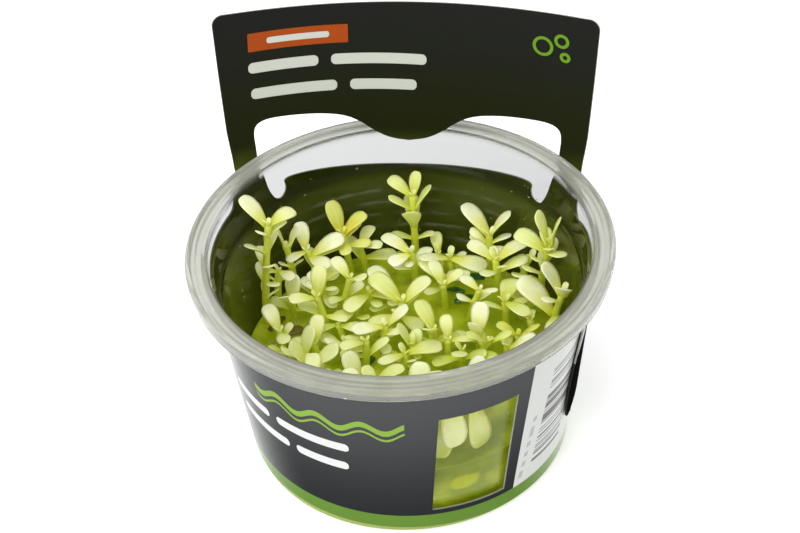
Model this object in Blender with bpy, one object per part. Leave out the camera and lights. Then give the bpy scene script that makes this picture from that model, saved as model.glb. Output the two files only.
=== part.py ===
# A pot of young bacopa in nutrient gel: clear flanged cup, gel, die-cut card sleeve with a header, shoots.
# Metres, +Z up, the cup's foot centred on the origin, the header at +Y. The sizes below are in millimetres.

import bpy
import bmesh
import numpy as np
from mathutils import Vector
from mathutils.geometry import delaunay_2d_cdt

for old in list(bpy.data.objects):
    bpy.data.objects.remove(old, do_unlink=True)

MM = 0.001

# Cup
RIM_RADIUS = 51.2
SKIRT_RADIUS = 50.7
CUP_HEIGHT = 57.5
SKIRT_DROP = 3.6
OPENING_RADIUS = 45.9
FOOT_RADIUS = 39.0
FLOOR = 1.3
FLOOR_RADIUS = 37.6
FACETS = 48

# Gel
GEL_LEVEL = 21.0
GAP = 0.3
SOCKET_DEPTH = 4.2

# Sleeve card
CARD = 0.45
BAND_BOTTOM = 2.1
BAND_TOP = 52.4
BAND_BOTTOM_RADIUS = 39.5
BAND_TOP_RADIUS = 45.6
FLAP_FOOT = 92.0
FLAP_END = 457.0
FLAP_PROUD = 0.85
BACK_EDGE = 46.7
HEADER_TOP = 93.0
HEADER_HALF_WIDTH = 46.6
HEADER_Y = 43.1
HEADER_LEAN = 0.176
HEADER_CURVE = 96.0
HEADER_REACH = 51.0
CARD_TILT = 0.027

# Shoots
STEM_FOOT_RADIUS = 1.0
STEM_TOP_RADIUS = 0.8
LEAF_WIDTH = 0.56
LEAF_KEEP_CLEAR = 1.5

# One row a shoot: foot x and y, top x, y and z, then its leaf pairs from the top down. A pair is its place
# up the stem, the turn and rise of one leaf, the turn and rise of the other, and the longer leaf's length.
SHOOTS = [
    (-36.0, 12.0, -33.5, 15.0, 50.5, [(1, 151, 33, 48, 0, 9.4), (.74, -133, 45, 75, 38, 7.6)]),
    (-29.5, 23.5, -30.8, 23.6, 36.4, [(1, -160, 66, 20, 64, 7.4), (.6, -125, 25, -27, 45, 4.8)]),
    (-33.6, 18.0, -32.7, 18.2, 33.6, [(1, -130, -5, -47, 10, 6.6), (.7, 171, 30, 60, 30, 5.0)]),
    (-23.0, 24.5, -26.0, 24.5, 34.8, [(1, 120, 16, -128, 8, 7.2), (.86, 24, 10, -60, 12, 9.4)]),
    (-16.0, 30.5, -17.4, 31.0, 34.8, [
        (1, 132, 56, 40, 34, 8.8), (.84, 104, 48, -80, 40, 7.2), (.72, -150, 24, -12, 18, 7.6)]),
    (-12.0, 31.5, -13.2, 31.2, 30.6, [(1, 67, 14, -12, 34, 6.6), (.55, 5, 4, 175, 12, 8.0)]),
    (-16.8, 14.5, -14.3, 14.4, 34.0, [(1, 130, 12, -38, 34, 6.8), (.5, 40, 20, -140, 15, 5.4)]),
    (-10.5, 15.5, -9.6, 14.8, 28.8, [(1, -138, 2, -23, 8, 8.2)]),
    (-1.6, 9.5, -1.2, 9.1, 30.7, [(1, 142, 33, 33, 30, 10.2), (.5, -146, 6, -50, 8, 8.8)]),
    (0.8, 34.6, 0.6, 36.4, 42.6, [
        (1, 145, 24, 70, 42, 7.4), (.82, 0, 60, 190, 50, 8.4), (.6, -95, 62, 100, 50, 9.0),
        (.4, -165, 24, -10, 26, 6.0)]),
    (1.2, 26.0, 0.4, 26.0, 32.6, [(1, 149, 16, -130, 10, 8.4)]),
    (10.5, 28.6, 9.9, 29.4, 28.2, [(1, -28, 4, -150, 12, 10.0)]),
    (9.0, 17.5, 8.6, 17.5, 29.0, [(1, 117, 34, 48, 26, 6.8)]),
    (15.3, 13.0, 18.0, 12.9, 31.4, [(1, 139, 12, -30, 25, 5.8), (.62, -159, 38, 20, 30, 5.2)]),
    (20.0, 30.0, 20.0, 30.8, 34.4, [(1, 118, 33, 45, 8, 10.0), (.74, -46, 14, 168, 30, 6.0)]),
    (22.5, 21.5, 21.8, 21.3, 34.2, [(1, 37, 8, 150, 20, 9.0), (.7, 20, 12, -120, 10, 8.0)]),
    (27.8, 24.6, 29.6, 24.4, 31.0, [(1, 172, 72, -8, 72, 7.4)]),
    (32.6, 19.2, 35.4, 14.8, 44.6, [(1, 172, 74, -8, 76, 10.0), (.86, 146, 14, -60, 30, 9.2)]),
    (36.0, 9.4, 38.4, 8.0, 34.2, [(1, -48, 72, 150, 58, 10.8), (.4, 146, 34, -70, 12, 12.2)]),
    (7.0, 31.5, 6.8, 32.0, 27.2, [(1, 99, 52, -80, 30, 5.8)]),
    (24.5, 10.5, 24.3, 10.6, 29.6, [(1, 120, 28, -40, 10, 9.6), (.72, -168, 34, 25, 10, 6.4)]),
    (18.0, -1.0, 20.6, -1.2, 27.0, [(1, -154, 42, -2, 34, 7.0), (.5, -60, 10, 100, 20, 5.8)]),
    (10.3, -2.2, 10.6, -1.9, 28.0, [(1, 98, 40, 8, 10, 6.2)]),
    (6.4, 1.0, 6.8, 0.2, 29.2, [(1, 99, 50, -98, 48, 8.4), (.5, 10, 15, 170, 10, 6.4)]),
    (-5.6, 0.0, -5.0, 1.0, 30.2, [(1, -150, 6, 20, 20, 8.4), (.5, 100, 20, -80, 10, 6.2)]),
    (-9.6, -5.8, -9.2, -5.6, 31.0, [(1, 106, 45, -150, 20, 7.4), (.5, 30, 15, -170, 15, 6.8)]),
    (0.2, -6.4, 0.2, -5.8, 27.0, [(1, 45, 15, -167, 14, 8.8), (.5, 144, 8, -40, 10, 6.4)]),
    (-19.6, 6.3, -21.8, 6.1, 35.0, [(1, 80, 58, -158, 14, 7.8), (.55, 177, 38, -23, 8, 7.2)]),
    (-15.6, 3.6, -16.8, 4.0, 27.8, [(1, -21, 18, 160, 15, 6.4)]),
    (-31.0, 2.0, -31.4, 2.2, 27.0, [(1, 120, 30, -70, 20, 7.6)]),
    (-21.4, -3.4, -22.4, -2.4, 27.0, [(1, 78, 30, 160, 25, 7.2)]),
    (28.0, 2.0, 27.6, 2.4, 25.6, [(1, -14, 24, 150, 18, 6.6)]),
    (-22.0, 16.5, -21.6, 17.0, 31.0, [(1, 60, 30, -110, 30, 8.6)]),
    (31.5, 4.8, 30.6, 6.0, 27.6, [(1, 100, 30, -60, 30, 7.4)]),
    (10.0, -25.5, 11.6, -31.7, 37.9, [(1, -70, -62, 110, -10, 12.0), (.3, -94, -22, 60, 10, 10.4)]),
    (19.4, -22.0, 17.1, -28.7, 33.7, [(1, -59, -62, 130, 10, 12.0)]),
    (-6.0, -19.0, -6.4, -20.0, 31.0, [(1, 20, 20, 200, 24, 7.6)]),
    (-20.0, -18.0, -21.0, -18.6, 29.5, [(1, 95, 24, -80, 20, 7.4)]),
    (26.0, -11.0, 27.0, -11.6, 29.0, [(1, 30, 20, 190, 22, 7.2)]),
]


# Common helpers

def material(name, colour, roughness, transmission=0.0, alpha=1.0):
    """One Principled material under its part's own name."""
    mat = bpy.data.materials.new(name)
    mat.use_nodes = True
    node = mat.node_tree.nodes["Principled BSDF"]
    node.inputs["Base Color"].default_value = (*colour, 1.0)
    node.inputs["Roughness"].default_value = roughness
    node.inputs["Transmission Weight"].default_value = transmission
    node.inputs["Alpha"].default_value = alpha
    mat.diffuse_color = (*colour, alpha)
    return mat


def add_body(name, points, faces, mat):
    """A named object from points in millimetres and their faces, all facing out."""
    mesh = bpy.data.meshes.new(name)
    mesh.from_pydata([tuple(float(c) * MM for c in p) for p in points], [], [tuple(f) for f in faces])
    work = bmesh.new()
    work.from_mesh(mesh)
    bmesh.ops.recalc_face_normals(work, faces=work.faces)
    work.to_mesh(mesh)
    work.free()
    mesh.materials.append(mat)
    body = bpy.data.objects.new(name, mesh)
    bpy.context.collection.objects.link(body)
    return body


def lathe(profile, facets=FACETS):
    """Points and faces of a closed body turned about Z from a profile that starts and ends on the axis."""
    ring_profile = profile[1:-1]
    angles = np.arange(facets) * (2 * np.pi / facets)
    points = [(0.0, 0.0, profile[0][1])]
    for r, z in ring_profile:
        points.extend((r * np.sin(a), -r * np.cos(a), z) for a in angles)
    points.append((0.0, 0.0, profile[-1][1]))
    last = len(points) - 1
    faces = []
    for i in range(facets):
        j = (i + 1) % facets
        faces.append((0, 1 + j, 1 + i))
        for k in range(len(ring_profile) - 1):
            low = 1 + k * facets
            high = low + facets
            faces.append((low + i, low + j, high + j, high + i))
        top = last - facets
        faces.append((last, top + i, top + j))
    return points, faces


def smooth(value):
    """Eases 0 to 1 with no corner at either end."""
    t = min(1.0, max(0.0, value))
    return t * t * (3 - 2 * t)


def inner_wall(z):
    """The cup's inner radius at a height."""
    heights = (FLOOR, 1.9, 46.4, 47.6, 54.0, CUP_HEIGHT)
    radii = (FLOOR_RADIUS, 38.25, 43.0, 43.8, 44.4, OPENING_RADIUS)
    return float(np.interp(z, heights, radii))


# Cup: tapered wall with a ledge, flange with two low ridges, short drafted skirt

def build_cup():
    top = CUP_HEIGHT
    skirt = top - SKIRT_DROP
    profile = [
        (0, 0), (FOOT_RADIUS - 0.3, 0), (FOOT_RADIUS, 0.4), (FOOT_RADIUS, 4.0), (43.7, 46.6), (44.4, 47.2),
        (45.0, 53.6), (46.4, 56.4), (50.3, 56.4), (SKIRT_RADIUS - 0.6, skirt), (SKIRT_RADIUS, skirt),
        (RIM_RADIUS, top - 0.6), (50.7, top), (49.9, top - 0.45), (49.2, top - 0.1), (48.3, top - 0.5),
        (47.5, top - 0.1), (OPENING_RADIUS, top - 0.1), (44.4, 54.0), (43.8, 47.6), (43.0, 46.4),
        (38.25, 1.9), (FLOOR_RADIUS, FLOOR), (0, FLOOR),
    ]
    points, faces = lathe(profile)
    return add_body("cup", points, faces, material("cup", (0.86, 0.88, 0.84), 0.08, 0.9, 0.35))


# Gel: fills the cup's lower third, with a low rise where it meets the wall and a socket for each stem

def build_gel():
    rise = GEL_LEVEL + 0.6
    profile = [
        (0, FLOOR + GAP), (FLOOR_RADIUS - GAP, FLOOR + GAP), (37.95, 2.2), (inner_wall(rise) - GAP, rise),
        (inner_wall(rise) - GAP - 1.6, GEL_LEVEL), (0, GEL_LEVEL),
    ]
    points, faces = lathe(profile)
    gel = add_body("gel", points, faces, material("gel", (0.42, 0.48, 0.10), 0.15, 0.6, 0.75))
    points = []
    faces = []
    half = STEM_FOOT_RADIUS + GAP
    for row in SHOOTS:
        start = len(points)
        for z in (GEL_LEVEL - SOCKET_DEPTH, GEL_LEVEL + 2):
            for dx, dy in ((-half, -half), (half, -half), (half, half), (-half, half)):
                points.append((row[0] + dx, row[1] + dy, z))
        corners = ((0, 3, 2, 1), (4, 5, 6, 7), (0, 1, 5, 4), (1, 2, 6, 5), (2, 3, 7, 6), (3, 0, 4, 7))
        faces.extend(tuple(start + c for c in corner) for corner in corners)
    cutter = add_body("gel_cutter", points, faces, gel.data.materials[0])
    cutter.hide_render = True
    cutter.display_type = "WIRE"
    cut = gel.modifiers.new("sockets", "BOOLEAN")
    cut.operation = "DIFFERENCE"
    cut.solver = "EXACT"
    cut.object = cutter
    return gel


# Sleeve: one die-cut card, cut flat as angle and height, wrapped round the cup and bent up into the header

def header_y(x, z):
    """The header's own sheet, bowed across and leaning back."""
    return HEADER_Y + HEADER_LEAN * (z - CUP_HEIGHT) - x * x / (2 * HEADER_CURVE)


def band_radius(z):
    """The band's middle surface, a cone a little wider than the cup's wall."""
    slope = (BAND_TOP_RADIUS - BAND_BOTTOM_RADIUS) / (BAND_TOP - BAND_BOTTOM)
    return BAND_BOTTOM_RADIUS + slope * (z - BAND_BOTTOM)


def card_point(angle, z, off):
    """A point of the card from its angle round the cup, counted from the front, and its height on the flat
    card, which sits a little lower on the right than on the left."""
    a = np.radians(angle)
    low = z - CARD_TILT * band_radius(z) * np.sin(a)
    radius = band_radius(low) + FLAP_PROUD * (1 - smooth((angle - 104) / 8)) + off
    wall = np.array((radius * np.sin(a), -radius * np.cos(a), low))
    back = abs(180 - angle)
    if back > 70:
        return wall
    side = 1 - smooth((back - 57) / 12) * (1 - smooth((z - 53) / 7))
    inner = 1.0 if z > 53 else smooth((back - 43.5) / 4)
    bend = smooth((z - 45) / 9) * side * inner
    x = HEADER_REACH * np.sin(a)
    slope = np.array((x / HEADER_CURVE, 1.0, -HEADER_LEAN))
    sheet = np.array((x, header_y(x, z), z)) + slope / np.linalg.norm(slope) * off
    sheet += np.array((CARD_TILT * (z - CUP_HEIGHT), 0.0, -CARD_TILT * x))
    return wall * (1 - bend) + sheet * bend


def arc(cx, cz, rx, rz, start, end, steps):
    """Points of part of an ellipse, in degrees."""
    angles = np.radians(np.linspace(start, end, steps))
    return [(cx + rx * np.cos(a), cz + rz * np.sin(a)) for a in angles]


def at_back(x):
    """The card's angle where the header's sheet has this x."""
    return 180 - np.degrees(np.arcsin(x / HEADER_REACH))


def outline():
    """The card's outer edge, counter-clockwise in angle and height. Its first end is a rounded tab."""
    edge = [(FLAP_FOOT, BAND_BOTTOM)]
    edge += [(a, BAND_BOTTOM) for a in np.arange(105, FLAP_END, 7.5)]
    edge += [(FLAP_END, BAND_BOTTOM), (FLAP_END, BAND_TOP)]
    edge += [(a, BAND_TOP) for a in np.arange(450, 240, -7.5)]
    edge += [(238, BAND_TOP + 0.3), (at_back(-43.8), 58), (at_back(-44.6), 64), (at_back(-45.8), 80)]
    left = arc(-HEADER_HALF_WIDTH + 2.2, HEADER_TOP - 0.2, 2.2, 2.2, 180, 90, 4)
    edge += [(at_back(x), z) for x, z in left]
    edge += [(at_back(x), HEADER_TOP + 2.2 * (x / 47) ** 2) for x in np.arange(-38, 39, 9.5)]
    right = arc(HEADER_HALF_WIDTH - 2.2, HEADER_TOP - 0.2, 2.2, 2.2, 90, 0, 4)
    edge += [(at_back(x), z) for x, z in right]
    edge += [(at_back(45.8), 80), (at_back(44.6), 64), (at_back(43.8), 58), (122, BAND_TOP + 0.3)]
    edge += [(a, BAND_TOP) for a in np.arange(120, 89, -7.5)]
    edge += [
        (84, BAND_TOP), (76, 46), (70.6, 37.3), (68.1, 29.6), (67.3, 23), (68.0, 17.5), (70.5, 15.2), (75, 16.6),
        (82, 17.5), (89, 16.5), (FLAP_FOOT, 13.5),
    ]
    return edge


def big_window():
    """The opening behind the rim: arched above with a tongue, notched at its two lower corners."""
    arch = [
        (0.0, 55.9), (4.5, 56.5), (8.5, 58.6), (12.0, 61.4), (16.0, 63.5), (22.0, 64.6), (29.0, 65.2),
        (35.0, 65.4), (37.6, 64.4), (38.3, 62.2), (37.8, 57.5), (37.6, 53.4),
    ]
    notch = [
        (47.0, 51.0), (48.4, 48.4), (48.1, 46.6), (46.7, 45.7), (45.2, 45.8), (43.8, 46.8), (43.1, 48.4),
        (43.6, 49.9),
    ]
    lower = [(42.2, 50.5), (37.5, 50.0), (30.0, 49.0), (22.5, 48.1), (15.0, 47.4), (7.5, 46.9)]
    right = [(at_back(x), z) for x, z in arch] + [(180 - back, z) for back, z in notch + lower]
    return right + [(180, BACK_EDGE)] + [(360 - a, z) for a, z in reversed(right[1:])]


def inside(loop, x, y):
    """Whether a flat point lies inside a closed loop."""
    found = False
    for (x1, y1), (x2, y2) in zip(loop, loop[1:] + loop[:1]):
        if (y1 > y) != (y2 > y) and x < (x2 - x1) * (y - y1) / (y2 - y1) + x1:
            found = not found
    return found


def build_sleeve():
    scale = 0.8
    outer = outline()
    view = [(373.6, 41.4), (386.5, 41.5), (399.9, 41.4), (397.2, 8.3), (384.0, 8.3), (370.8, 8.3)]
    holes = [big_window(), view]
    flat = []
    edges = []
    for loop in [outer] + holes:
        start = len(flat)
        flat.extend((a * scale, z) for a, z in loop)
        edges.extend((start + i, start + (i + 1) % len(loop)) for i in range(len(loop)))
    for a in np.arange(90, 450, 7.5):
        start = len(flat)
        flat.extend([(a * scale, BAND_BOTTOM), (a * scale, BAND_TOP if abs(a - 180) > 60 else 45.0)])
        edges.append((start, start + 1))
    for a in list(np.arange(114, 132, 3.5)) + list(np.arange(228.5, 246, 3.5)):
        start = len(flat)
        flat.extend([(a * scale, z) for z in (45.0, 47.2, 49.4, 51.6, 53.4)])
        edges.extend((start + i, start + i + 1) for i in range(4))
    for x in np.arange(-38, 39, 9.5):
        start = len(flat)
        flat.extend([(at_back(x) * scale, 66.0), (at_back(x) * scale, HEADER_TOP + 2.2 * (x / 47) ** 2)])
        edges.append((start, start + 1))
    result = delaunay_2d_cdt([Vector(p) for p in flat], edges, [], 0, 1e-4)
    spots = [(v.x / scale, v.y) for v in result[0]]
    triangles = []
    for face in result[2]:
        cx = sum(spots[v][0] for v in face) / len(face)
        cz = sum(spots[v][1] for v in face) / len(face)
        if inside(outer, cx, cz) and not any(inside(hole, cx, cz) for hole in holes):
            triangles.append(tuple(face))
    used = sorted({v for face in triangles for v in face})
    place = {v: i for i, v in enumerate(used)}
    count = len(used)
    points = [card_point(*spots[v], off) for off in (-CARD / 2, CARD / 2) for v in used]
    faces = []
    borders = {}
    for face in triangles:
        a, b, c = (place[v] for v in face)
        faces.append((a, b, c))
        faces.append((c + count, b + count, a + count))
        for edge in ((a, b), (b, c), (c, a)):
            if edge[::-1] in borders:
                del borders[edge[::-1]]
            else:
                borders[edge] = True
    faces.extend((b, a, a + count, b + count) for a, b in borders)
    return add_body("sleeve", points, faces, material("sleeve", (0.05, 0.055, 0.055), 0.45))


# Shoots: each a six-sided stem with opposite leaves drawn out of its sides

def stem_point(row, share):
    """The stem's centre line: upright at the gel, then leaning over to its top."""
    ease = share ** 1.4
    return np.array((
        row[0] + (row[2] - row[0]) * ease,
        row[1] + (row[3] - row[1]) * ease,
        GEL_LEVEL + 0.8 + (row[4] - GEL_LEVEL - 0.8) * share,
    ))


def leaf_frames(root, turn, rise, length, shares):
    """Centre, sideways and upward directions along an arched leaf."""
    a = np.radians(turn)
    out = np.array((np.cos(a), np.sin(a), 0.0))
    side = np.array((-np.sin(a), np.cos(a), 0.0))
    frames = []
    for share in shares:
        bent = np.radians(rise + 14 - 14 * share)
        centre = root + length * share * (out * np.cos(bent) + np.array((0, 0, np.sin(bent))))
        slope = np.radians(rise + 14 - 28 * share)
        frames.append((centre, side, np.array((0, 0, np.cos(slope))) - out * np.sin(slope)))
    return frames


def leaf_half_width(share, length):
    """Spoon shape: a narrow foot, widest at two thirds, a round end."""
    shares = (0, 0.1, 0.25, 0.45, 0.65, 0.8, 0.9, 0.96, 1)
    shape = np.interp(share, shares, (0.38, 0.44, 0.62, 0.88, 1.0, 0.97, 0.82, 0.6, 0.32))
    return float(shape) * length * LEAF_WIDTH / 2


def leaf_samples(root, turn, rise, length):
    """Points spread over a leaf, used to keep leaves apart."""
    shares = np.linspace(0.2, 1, 9)
    points = []
    for share, (centre, side, _) in zip(shares, leaf_frames(root, turn, rise, length, shares)):
        half = leaf_half_width(share, length)
        points.extend(centre + side * half * k for k in (-1, -0.5, 0, 0.5, 1))
    return np.array(points)


def is_clear(points, others):
    """Whether a leaf's points clear the wall, the gel and the other pieces' points."""
    radius = np.hypot(points[:, 0], points[:, 1])
    wall = np.interp(points[:, 2], (0, 3.2, 46.4, 47.6, 54.0, 57.5), (34, 38.2, 43.0, 43.8, 44.4, 45.4))
    if np.any(radius > wall - 0.8) or np.any(points[:, 2] < GEL_LEVEL + 1.1):
        return False
    if np.any((points[:, 2] > 53) & (points[:, 1] > 39)):
        return False
    gaps = np.linalg.norm(points[:, None] - others[None], axis=2)
    return gaps.min() > LEAF_KEEP_CLEAR


def place_leaves():
    """Settles each leaf's turn, rise and length in row order so that no two leaves or stems meet."""
    stems = []
    for row in SHOOTS:
        steps = int(row[4] - GEL_LEVEL) + 2
        stems.append(np.array([stem_point(row, share) for share in np.linspace(0, 1, steps)]))
    turns = (0, 10, -10, 20, -20, 32, -32, 45, -45)
    moves = [(turn, rise) for turn in turns for rise in (0, 10, -10, 20, -20, 32, -32, 45)]
    moves.sort(key=lambda m: abs(m[0]) + abs(m[1]))
    taken = []
    placed = []
    for index, row in enumerate(SHOOTS):
        others = np.concatenate([s for i, s in enumerate(stems) if i != index] + taken)
        mine = []
        whole = []
        rows = []
        for share, turn_a, rise_a, turn_b, rise_b, length in row[5]:
            pair = []
            for turn, rise, size in ((turn_a, rise_a, length), (turn_b, rise_b, length * 0.86)):
                a = np.radians(turn)
                root = stem_point(row, share) + np.array((np.cos(a), np.sin(a), 0)) * STEM_TOP_RADIUS * 0.8
                best = None
                for scale in (1.0, 0.9, 0.8, 0.7, 0.6, 0.5):
                    for dt, dr in moves:
                        if rise + dr > (76 if share == 1 else 62) or rise + dr < min(-35, rise - 12):
                            continue
                        points = leaf_samples(root, turn + dt, rise + dr, size * scale)
                        near = np.concatenate([others] + mine) if mine else others
                        if is_clear(points, near):
                            best = (turn + dt, rise + dr, size * scale)
                            mine.append(points[10:])
                            whole.append(points)
                            break
                    if best:
                        break
                pair.append(best)
            rows.append((share, turn_a, pair))
        taken.extend(whole)
        placed.append(rows)
    return placed


def build_shoot(number, row, pairs, mat):
    """One closed body: rings up the stem, each leaf drawn out of one side face of its node's band."""
    points = []
    faces = []

    def ring(centre, radius, spin):
        angles = np.radians(spin + np.arange(6) * 60 - 30)
        start = len(points)
        x, y, z = centre
        points.extend((x + radius * np.cos(a), y + radius * np.sin(a), z) for a in angles)
        return start

    foot = stem_point(row, 0)
    spin = pairs[-1][1]
    rings = [ring((foot[0], foot[1], GEL_LEVEL - SOCKET_DEPTH + GAP), STEM_FOOT_RADIUS, spin)]
    rings.append(ring(foot, STEM_FOOT_RADIUS, spin))
    leaves = []
    height = row[4] - GEL_LEVEL
    for share, turn, pair in reversed(pairs):
        spin += (turn - spin + 30) % 60 - 30
        radius = STEM_FOOT_RADIUS + (STEM_TOP_RADIUS - STEM_FOOT_RADIUS) * share
        rings.append(ring(stem_point(row, share - 0.45 / height), radius, spin))
        rings.append(ring(stem_point(row, share + 0.45 / height), radius, spin))
        leaves.append((len(rings) - 2, spin, share, pair))
    open_faces = {}
    for band, spin, share, pair in leaves:
        for leaf in pair:
            if leaf is None:
                continue
            side = int(round((leaf[0] - spin) / 60)) % 6
            while (band, side) in open_faces:
                side = (side + 1) % 6
            open_faces[(band, side)] = (share, leaf)
    for band in range(len(rings) - 1):
        low, high = rings[band], rings[band + 1]
        for side in range(6):
            nxt = (side + 1) % 6
            quad = (low + side, low + nxt, high + nxt, high + side)
            if (band, side) not in open_faces:
                faces.append(quad)
                continue
            share, (turn, rise, length) = open_faces[(band, side)]
            root = np.mean([points[v] for v in quad], axis=0)
            previous = quad
            sections = (0.22, 0.48, 0.8, 1.0) if length > 7.4 else (0.3, 0.72, 1.0)
            thick = (0.85, 0.75, 0.6, 0.36)
            frames = leaf_frames(root, turn, rise, length, sections)
            for section, depth, (centre, across, up) in zip(sections, thick, frames):
                half = leaf_half_width(section, length)
                start = len(points)
                for dx, dz in ((-1, -1), (1, -1), (1, 1), (-1, 1)):
                    points.append(tuple(centre + across * half * dx + up * depth / 2 * dz))
                current = tuple(range(start, start + 4))
                for k in range(4):
                    m = (k + 1) % 4
                    faces.append((previous[k], previous[m], current[m], current[k]))
                previous = current
            faces.append(previous)
    faces.append(tuple(rings[0] + k for k in (5, 4, 3, 2, 1, 0)))
    tip = len(points)
    points.append(tuple(stem_point(row, 1 + 1.5 / height)))
    faces.extend((rings[-1] + k, rings[-1] + (k + 1) % 6, tip) for k in range(6))
    return add_body("shoot_%02d" % number, points, faces, mat)


build_cup()
build_gel()
build_sleeve()
for number, (row, pairs) in enumerate(zip(SHOOTS, place_leaves()), 1):
    fresh = 0.5 + 0.5 * np.sin(number * 2.4)
    tone = (0.62 + 0.08 * fresh, 0.70 + 0.05 * fresh, 0.30 + 0.10 * fresh)
    build_shoot(number, row, pairs, material("shoot_%02d" % number, tone, 0.4))
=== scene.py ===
from functools import reduce

import bpy
import numpy as np
from mathutils import Matrix, Vector
from mathutils.geometry import delaunay_2d_cdt
from numpy.linalg import norm


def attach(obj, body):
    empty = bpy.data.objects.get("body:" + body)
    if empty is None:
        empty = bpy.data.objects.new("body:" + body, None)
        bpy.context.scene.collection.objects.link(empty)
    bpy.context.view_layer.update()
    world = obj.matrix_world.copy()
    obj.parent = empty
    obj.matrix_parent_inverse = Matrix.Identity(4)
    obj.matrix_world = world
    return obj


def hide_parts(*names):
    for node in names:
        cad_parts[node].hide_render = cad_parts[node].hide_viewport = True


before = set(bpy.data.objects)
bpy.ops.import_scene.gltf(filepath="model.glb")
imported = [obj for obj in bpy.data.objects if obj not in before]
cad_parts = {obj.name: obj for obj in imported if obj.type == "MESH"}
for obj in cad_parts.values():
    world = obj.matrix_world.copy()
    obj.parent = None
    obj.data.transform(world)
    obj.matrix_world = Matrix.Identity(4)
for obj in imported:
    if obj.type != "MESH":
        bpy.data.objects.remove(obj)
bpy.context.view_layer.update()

# The photograph's view: a long lens looks down on the pot from the front and a little to its right, with the header
# upright behind it.

scene = bpy.context.scene


def placed(name, data):
    """A new object in the scene: a mesh, camera or lamp."""
    thing = bpy.data.objects.new(name, data)
    scene.collection.objects.link(thing)
    return thing


camera = placed("camera", bpy.data.cameras.new("camera"))
camera.data.sensor_width = 36
camera.data.lens = 99
camera.data.clip_start = 0.01
camera.matrix_world = Matrix((
    (0.99740365, 0.00201408, 0.07198546, 0.03760186),
    (0.05365725, 0.64590871, -0.76152665, -0.40042138),
    (-0.04802981, 0.763412, 0.64412363, 0.38891333),
    (0, 0, 0, 1),
))
scene.camera = camera

# Cup: one thin-walled moulding in clear plastic, tapered, with a ledge near its top and a wide flange that has soft
# ridges and a short skirt. It carries the gel inside and the card sleeve round it.

MM = 0.001
CUP_HEIGHT = 57.5
RIM_RADIUS = 51.2
SKIRT_RADIUS = 50.7
SKIRT_FOOT = 53.9
FOOT_RADIUS = 39.0
CORNER_POINTS = 5
CUP_SIDES = 192

# Where the plastic and its painted light change, in metres, and how fast the painted highlight rings in its haze
# follow each other, in radians a metre.
FLANGE_STARTS = (0.0456, 0.0466)
PLATE_STARTS = (0.0556, 0.0562)
LEDGE_DARKENS = (0.0435, 0.0468)
FOOT_CLEARS = (0.0018, 0.0026)
GLINT_LINED_WALL = (0.024, 0.0435)
BACK_HALF = 0.02
COARSE_PAINTED_GLINTS, FINE_PAINTED_GLINTS, WALL_PAINTED_GLINTS = 4400, 9700, 1740
WALL_TINT, LEDGE_TINT = (0.96, 0.965, 0.95), (0.54, 0.545, 0.55)
SKIRT_TINT, PLATE_TINT, MILK = (0.86, 0.865, 0.84), (0.74, 0.745, 0.7), (0.52, 0.525, 0.455)
FOOT_PAINTED_GEL_COLOUR = (0.3, 0.38, 0.05)


def maths(operation, swapped=False):
    """A method for Reading that adds one Math node. Swapped, the number comes before the reading."""
    def method(self, other=0):
        first, second = (other, self) if swapped else (self, other)
        return self.finish.node("Math", {0: first, 1: second}, operation=operation)
    return method


class Reading:
    """A value or colour inside a finish. Arithmetic on it adds Math nodes."""

    __add__ = __radd__ = maths("ADD")
    __mul__ = __rmul__ = maths("MULTIPLY")
    __sub__, __rsub__ = maths("SUBTRACT"), maths("SUBTRACT", True)
    __gt__, __lt__ = maths("GREATER_THAN"), maths("LESS_THAN")
    __abs__, most, sine, whole = maths("ABSOLUTE"), maths("MAXIMUM"), maths("SINE"), maths("FLOOR")

    def __init__(self, finish, socket):
        self.finish, self.socket = finish, socket

    def between(self, low, high):
        """1 where the value lies between two others."""
        return (self > low) * (self < high)

    def ramp(self, low, high):
        """0 at low to 1 at high, held outside them."""
        return self.finish.node("MapRange", {0: self, 1: low, 2: high}, interpolation_type="SMOOTHSTEP")


class Finish:
    """One material on a Principled shader. node() adds any node: its type, its sockets and its settings."""

    def __init__(self, name, **sockets):
        self.material = bpy.data.materials.new(name)
        self.material.use_nodes = True
        self.tree = self.material.node_tree
        self.surface = self.tree.nodes["Principled BSDF"]
        self.wear(**sockets)

    def put(self, made, sockets):
        for key, value in sockets.items():
            socket = made.inputs[key]
            if isinstance(value, Reading):
                self.tree.links.new(value.socket, socket)
            elif socket.type == "RGBA":
                socket.default_value = (*value, 1)
            else:
                socket.default_value = value

    def wear(self, **sockets):
        """Sets or links inputs of the surface, named with underscores for spaces."""
        self.put(self.surface, {key.replace("_", " "): value for key, value in sockets.items()})

    def node(self, kind, sockets=None, out=0, **settings):
        made = self.tree.nodes.new("ShaderNode" + kind)
        for key, value in settings.items():
            setattr(made, key, value)
        self.put(made, sockets or {})
        return Reading(self, made.outputs[out])

    def place(self):
        return self.node("TexCoord", out="Object")

    def vector(self, operation, *sockets):
        out = "Value" if operation == "LENGTH" else 0
        return self.node("VectorMath", dict(enumerate(sockets)), out, operation=operation)

    def marks(self, *names):
        """Numbers kept on the piece's points."""
        return [self.node("Attribute", out="Fac", attribute_name=name) for name in names]

    def blend(self, share, first, second):
        return self.node("Mix", {0: share, 6: first, 7: second}, 2, data_type="RGBA")

    def cloud(self, scale, detail=2, stretch=None):
        """Soft noise in the piece's own space, its scale in waves a metre."""
        place = self.place()
        if stretch:
            place = self.node("Mapping", {"Vector": place, "Scale": stretch})
        return self.node("TexNoise", {"Vector": place, "Scale": scale, "Detail": detail})

    def relief(self, height, depth, strength=1):
        self.wear(Normal=self.node("Bump", {"Height": height, "Distance": depth, "Strength": strength}))


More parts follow.
